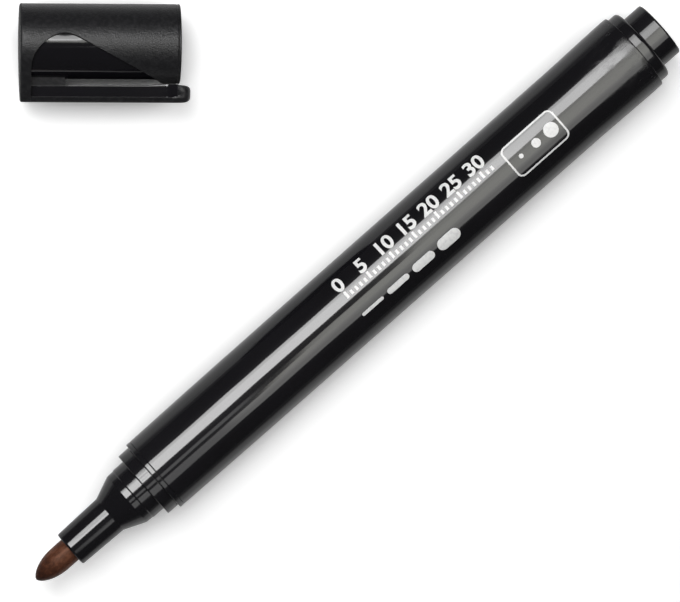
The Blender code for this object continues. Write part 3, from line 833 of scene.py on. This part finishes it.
grained_plastic, tree, shader = new_finish(
    "grained cap plastic", IOR=1.5, Specular_IOR_Level=0.27, Sheen_Weight=0.08, Sheen_Roughness=0.4
)
skin_vector = cap_coordinates(tree)
grains = add_node(tree, "ShaderNodeGroup", {"node_tree": moulded_grain}, Vector=skin_vector)
tree.links.new(tinted(tree, grains.outputs["Fleck"], GRAIN_TONES), shader.inputs["Base Color"])
skin_along = add_node(tree, "ShaderNodeSeparateXYZ", Vector=skin_vector).outputs["X"]
skin_roughness = between(tree, grains.outputs["Fleck"], 0.0, 1.0, *SKIN_ROUGHNESS)
coarse_end = between(tree, skin_along, *END_FACE, END_COARSENESS, 0.0)
tree.links.new(combined(tree, "ADD", skin_roughness, coarse_end), shader.inputs["Roughness"])
raised(tree, shader, grains.outputs["Grain"], GRAIN_HEIGHT)
cap_gloss = polished_plastic("polished cap plastic", cap_coordinates, CAP_POLISH, 0.0)
cap = finished("cap_skin", mirrored(lofted(stations, cap_finish)), cap_place, grained_plastic, cap_gloss)
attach(cap, "cap")
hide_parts("cap_shell")


# Pocket clip: moulded in one with the cap. A crowned, grained skin on a narrower polished rib, joined to the
# cap by a short web at its root. A bump under its tip holds the pocket.
CLIP_SKIN_INNER = 0.0088
CLIP_INNER = 0.0069
CLIP_RIB_HALF = 0.0018
RIB_DISH = 0.00013
RIB_SWELL = 0.00018
CLIP_TIP = 0.0285
CLIP_TIP_INNER = 0.0068
WEB_INNER = 0.0056
WEB_HALF = 0.00215
WEB_END = (0.0075, 0.0082)
BUMP_RISE = (0.0205, 0.0250)
BUMP_FALL = (0.0262, 0.0268)
BUMP_HEIGHT = 0.00025
TIP_BLOCK = (0.0244, 0.0270)
TIP_LEAN = 0.0003
TIP_SIDE_TOP = 0.0090
TIP_SIDE_DROP = 0.00126
TIP_SIDE_STEPS = 9
TIP_DOME = 0.0262
TIP_CENTER = 0.0082
TIP_EXPONENT = 3.4
TIP_LEAST = 0.02
SKIN_POINTS = 12
SKIN_TURN = math.radians(1.6)
SKIN_EDGE = [(0.00003, 0.00012), (-0.00002, 0.00003), (-0.00012, 0.0), (-0.0002, 0.0)]
RIB_FOOT = [(0.0002, 0.0), (0.00001, 0.0), (0.0, -0.00001), (0.0, -0.00006), (0.0, -0.0002)]
SLOT_EDGE = [(0.0, 0.00007), (-0.00002, 0.00002), (-0.00007, 0.0)]
WEB_EDGE = [(0.0, 0.00007), (0.00002, 0.0)]
TIP_EDGE = [(-0.00002, 0.0004), (-0.00016, 0.00014), (-0.0005, 0.0)]
INNER_SHARE = 0.45
RIB_ROW = SKIN_POINTS + len(SKIN_EDGE)
WEB_ROW = RIB_ROW + len(RIB_FOOT) + 1
ROOT_STEPS = 6
WEB_STEPS = 6
ARM_STEPS = 30
BUMP_STEPS = 28
TIP_STEPS = 18


def clip_inner(x):
    """How far the rib's inner face is from the cap's axis, along the slot and on the bump."""
    return CLIP_INNER - BUMP_HEIGHT * (ramp(x, BUMP_RISE) - ramp(x, BUMP_FALL))


def beside(across, out, offsets):
    """Points at small offsets from a corner of the clip's section."""
    return [Vector((across + shift, out + lift)) for shift, lift in offsets]


def inner_face(half, inner):
    """Points on a flat inner face, from near its edge to its middle."""
    return [Vector((half * INNER_SHARE, inner)), Vector((0.0, inner))]


def clip_section(x):
    """Half the clip's section, from the middle of its outer face round to the middle of its inner one."""
    points = []
    for step in range(SKIN_POINTS + 1):
        angle = (corner_angle + SKIN_TURN) * step / SKIN_POINTS
        radius = drop_radius(angle)
        points.append(Vector((radius * math.sin(angle), radius * math.cos(angle))))
    side = points[-1].x
    inner = clip_inner(x)
    points += beside(side, CLIP_SKIN_INNER, SKIN_EDGE)
    points += beside(CLIP_RIB_HALF - RIB_DISH, CLIP_SKIN_INNER, RIB_FOOT)
    points.append(Vector((CLIP_RIB_HALF, CLIP_INNER + RIB_SWELL)))
    slot = beside(CLIP_RIB_HALF, inner, SLOT_EDGE) + inner_face(CLIP_RIB_HALF, inner)
    web = beside(CLIP_RIB_HALF, CLIP_INNER, WEB_EDGE)
    web += [Vector((WEB_HALF, WEB_INNER)), *inner_face(WEB_HALF, WEB_INNER)]
    past_web = share_between(x, WEB_END)
    points += [start.lerp(end, past_web) for start, end in zip(web, slot)]
    tip_inner = min(inner, CLIP_TIP_INNER)
    tip = []
    for step in range(TIP_SIDE_STEPS + 1):
        share = step / TIP_SIDE_STEPS
        tip.append(Vector((side + TIP_LEAN * share, TIP_SIDE_TOP - TIP_SIDE_DROP * share)))
    tip += beside(side + TIP_LEAN, tip_inner, TIP_EDGE) + inner_face(side, tip_inner)
    block = ramp(x, TIP_BLOCK)
    skin = points[:SKIN_POINTS + 1]
    under = points[SKIN_POINTS + 1:]
    points = skin + [start.lerp(end, block) for start, end in zip(under, tip)]
    if x > TIP_DOME:
        share = share_between(x, (TIP_DOME, CLIP_TIP))
        shrink = max(TIP_LEAST, (1 - share ** TIP_EXPONENT) ** (1 / TIP_EXPONENT))
        middle = Vector((0.0, TIP_CENTER))
        points = [middle + (point - middle) * shrink for point in points]
    return [Vector((x, -point.y, point.x)) for point in points]


clip_stations = [BAND_END, *spaced(BAND_END, WEB_END[0], ROOT_STEPS)]
clip_stations += spaced(*WEB_END, WEB_STEPS)
clip_stations += spaced(WEB_END[1], BUMP_RISE[0], ARM_STEPS)
clip_stations += spaced(BUMP_RISE[0], TIP_DOME, BUMP_STEPS)
for turn in spaced(0.0, math.pi / 2, TIP_STEPS):
    clip_stations.append(TIP_DOME + (CLIP_TIP - TIP_DOME) * math.sin(turn))


def clip_finish(column, row):
    """The skin, the web and the tip are grained (0), the rib and its bump polished (1)."""
    x = clip_stations[column]
    web = row >= WEB_ROW and x < WEB_END[1]
    return 0 if row < RIB_ROW or x >= TIP_DOME or web else 1


clip_shape = mirrored(lofted([clip_section(x) for x in clip_stations], clip_finish))
clip = finished("clip_arm", clip_shape, cap_place, grained_plastic, cap_gloss)
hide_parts("pocket_clip")
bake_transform(clip)


# Floor: a sheet of matte white card under the pen and the cap, pale to its far edge. It takes their soft
# shadows, and painted shade from ambient occlusion darkens its glow beside and under them.
# Its colour is a painted pool of light round them, so that it fades out in the polished plastic.
FLOOR_SIZE = 12.0
FLOOR_SEGMENTS = 8
FLOOR_HEIGHT = -0.00002
FLOOR_WHITE = 0.56
FLOOR_GLOW = 0.60
FLOOR_GLOW_IN_GLOSS = 0.05
# Painted shade on the floor: how far ambient occlusion reaches, and the occlusion range over which the
# camera's glow fades out.
GLOW_REACH = 0.02
GLOW_SHADE = (0.38, 0.66)
GLOW_SAMPLES = 8
# Painted pool of light on the floor: its colour near the pen and the cap, its colour further out, the two
# ellipses and where it falls off.
PAINTED_POOL_WHITE = 0.72
PAINTED_POOL_DARK = 0.10
PEN_PAINTED_POOL = (0.20, 0.080, 1.0)
CAP_PAINTED_POOL = (0.050, 0.040, 1.0)
PAINTED_POOL_EDGE = (0.50, 1.0)
PICTURE_MIDDLE = Vector((-0.001547, -0.001215, NIB_TIP.z))
floor_shape = bmesh.new()
bmesh.ops.create_grid(
    floor_shape, x_segments=FLOOR_SEGMENTS, y_segments=FLOOR_SEGMENTS, size=FLOOR_SIZE / 2,
    matrix=Matrix.Translation((0.0, 0.0, FLOOR_HEIGHT)),
)


def pool_reach(tree, middle, turn, size):
    """Distance from the middle of a painted pool of light, as a share of its size."""
    vector = placed_coordinates(tree, (middle.x, middle.y, 0.0), turn, size)
    return add_node(tree, "ShaderNodeVectorMath", {"operation": "LENGTH"}, [vector]).outputs["Value"]


card, tree, shader = new_finish(
    "white card", Roughness=0.9, Specular_IOR_Level=0.1, Emission_Color=(1.0, 1.0, 1.0, 1.0)
)
floor_rays = add_node(tree, "ShaderNodeLightPath")
# Painted pool of light: the floor's colour is pale round the pen and the cap and dark further out; camera
# rays see it no darker than the white card.
pen_reach = pool_reach(tree, PICTURE_MIDDLE, PEN_ANGLE, PEN_PAINTED_POOL)
cap_reach = pool_reach(tree, CAP_END + Vector((CAP_LENGTH / 2, 0.0, 0.0)), 0.0, CAP_PAINTED_POOL)
painted_light_pool = between(tree, combined(tree, "MINIMUM", pen_reach, cap_reach), *PAINTED_POOL_EDGE, PAINTED_POOL_WHITE, PAINTED_POOL_DARK)
seen_white = combined(tree, "MULTIPLY", floor_rays.outputs["Is Camera Ray"], FLOOR_WHITE)
tree.links.new(combined(tree, "MAXIMUM", painted_light_pool, seen_white), shader.inputs["Base Color"])
# Painted shade: ambient occlusion darkens the camera's glow on the floor beside the pen and under the cap and
# clip.
occlusion = add_node(tree, "ShaderNodeAmbientOcclusion", {"samples": GLOW_SAMPLES}, Distance=GLOW_REACH)
painted_shade_openness = between(tree, occlusion.outputs["AO"], *GLOW_SHADE)
seen_glow = combined(tree, "MULTIPLY", floor_rays.outputs["Is Camera Ray"], FLOOR_GLOW)
gloss_glow = combined(tree, "MULTIPLY", floor_rays.outputs["Is Glossy Ray"], FLOOR_GLOW_IN_GLOSS)
glow = combined(tree, "MULTIPLY_ADD", seen_glow, painted_shade_openness, gloss_glow)
tree.links.new(glow, shader.inputs["Emission Strength"])
floor = finished("floor", floor_shape, Matrix.Identity(4), card)


# Studio light: a softbox on the upper left that draws the bright strip along the pen, dimmer panels on the
# lower right, and a dim room round them. Polished plastic shows them in parts that fade towards their ends,
# and two plain lamps of the same outlines give their even light.
LAMP_HEIGHT = 0.736
LAMP_STEP = 0.001
SOFTBOX_ALONG = (-0.142, 0.225)
SOFTBOX_ACROSS = (0.128, 0.660)
SOFTBOX_PARTS = [((-0.142, 0.094), 12.7), ((0.094, 0.131), 11.3), ((0.131, 0.225), 7.3)]
SOFTBOX_BANDS = [((0.128, 0.500), 1.0), ((0.500, 0.660), 0.78)]
SOFTBOX_LIGHT = 10.0
PANEL_ALONG = (-0.116, 0.20)
PANEL_ACROSS = (-0.670, -0.290)
PANEL_GLARE = 1.55
PANEL_LIGHT = 1.27
NARROW_ALONG = (-0.075, -0.0149)
NARROW_ACROSS = (-0.171, -0.066)
REAR_PANELS = [
    ((-0.0253, 0.39), (-0.670, -0.440), 0.95),
    ((-0.0253, 0.39), (-0.440, -0.350), 1.45),
    ((-0.0253, 0.39), (-0.350, -0.290), 2.0),
    ((-0.0077, 0.39), (-0.290, -0.186), 4.1),
    ((0.0076, 0.39), (-0.186, -0.066), 4.2),
    ((0.0455, 0.39), (-0.066, 0.040), 4.0),
    ((0.0455, 0.39), (0.040, 0.122), 3.3),
]
LAMP_WHITE = (1.0, 1.0, 1.0)
LAMP_WARM = (1.0, 1.0, 0.94)
ROOM_LIGHT = 0.16
ROOM_IN_GLOSS = 0.06


def add_lamp(name, along, across, radiance, glare, drop=0.0, color=LAMP_WHITE):
    """Rectangle that faces down, from limits along and across the pen, for glare or for even light."""
    light = bpy.data.lights.new(name, "AREA")
    light.shape = "RECTANGLE"
    light.color = color
    light.size = along[1] - along[0]
    light.size_y = across[1] - across[0]
    light.energy = radiance * math.pi * light.size * light.size_y
    lamp = bpy.data.objects.new(name, light)
    middle = Vector((sum(along) / 2, sum(across) / 2, LAMP_HEIGHT - drop))
    turn = Matrix.Rotation(PEN_ANGLE, 4, "Z")
    lamp.matrix_world = Matrix.Translation(PICTURE_MIDDLE) @ turn @ Matrix.Translation(middle)
    lamp.visible_camera = False
    lamp.visible_glossy = glare
    lamp.visible_diffuse = not glare
    bpy.context.collection.objects.link(lamp)


for part, (along, glare) in enumerate(SOFTBOX_PARTS):
    for band, (across, share) in enumerate(SOFTBOX_BANDS):
        add_lamp("softbox_glare_%d_%d" % (part, band), along, across, glare * share, True)
add_lamp("softbox_light", SOFTBOX_ALONG, SOFTBOX_ACROSS, SOFTBOX_LIGHT, False)
add_lamp("panel_glare", PANEL_ALONG, PANEL_ACROSS, PANEL_GLARE, True, LAMP_STEP)
add_lamp("panel_light", PANEL_ALONG, PANEL_ACROSS, PANEL_LIGHT, False, LAMP_STEP)
add_lamp("narrow_panel_glare", NARROW_ALONG, NARROW_ACROSS, PANEL_GLARE, True, LAMP_STEP)
for index, (along, across, glare) in enumerate(REAR_PANELS):
    drop = (index + 2) * LAMP_STEP
    add_lamp("rear_panel_%d" % index, along, across, glare, True, drop, LAMP_WARM)

room = bpy.data.worlds.new("room")
room.use_nodes = True
bpy.context.scene.world = room
room_rays = add_node(room.node_tree, "ShaderNodeLightPath")
background = room.node_tree.nodes["Background"]
background.inputs["Color"].default_value = (1.0, 1.0, 1.0, 1.0)
in_gloss = between(room.node_tree, room_rays.outputs["Is Glossy Ray"], 0.0, 1.0, ROOM_LIGHT, ROOM_IN_GLOSS)
seen = combined(room.node_tree, "MAXIMUM", room_rays.outputs["Is Camera Ray"], in_gloss)
room.node_tree.links.new(seen, background.inputs["Strength"])


# Camera: a long lens about a metre above the pen and a little to the left, as the picture was taken.
# It looks down at the middle of the picture, very slightly rolled.
CAMERA_OFFSET = Vector((-0.08805, 0.04193, 1.0273))
CAMERA_ROLL = math.radians(0.33)
AIM_TRIM = Vector((0.00004, -0.00010, 0.0))
LENS = 328.0
SENSOR_WIDTH = 36.0
SIGHT_END = 50.0
camera_data = bpy.data.cameras.new("camera")
camera_data.sensor_width = SENSOR_WIDTH
camera_data.lens = LENS
camera_data.clip_end = SIGHT_END
camera = bpy.data.objects.new("camera", camera_data)
sight = (-CAMERA_OFFSET).normalized()
right = sight.cross(Vector((0.0, 1.0, 0.0))).normalized()
up = right.cross(sight)
facing = Matrix((right, up, -sight)).transposed().to_4x4() @ Matrix.Rotation(CAMERA_ROLL, 4, "Z")
camera.matrix_world = Matrix.Translation(PICTURE_MIDDLE + AIM_TRIM + CAMERA_OFFSET) @ facing
bpy.context.collection.objects.link(camera)
bpy.context.scene.camera = camera
bpy.context.scene.view_settings.view_transform = "Standard"
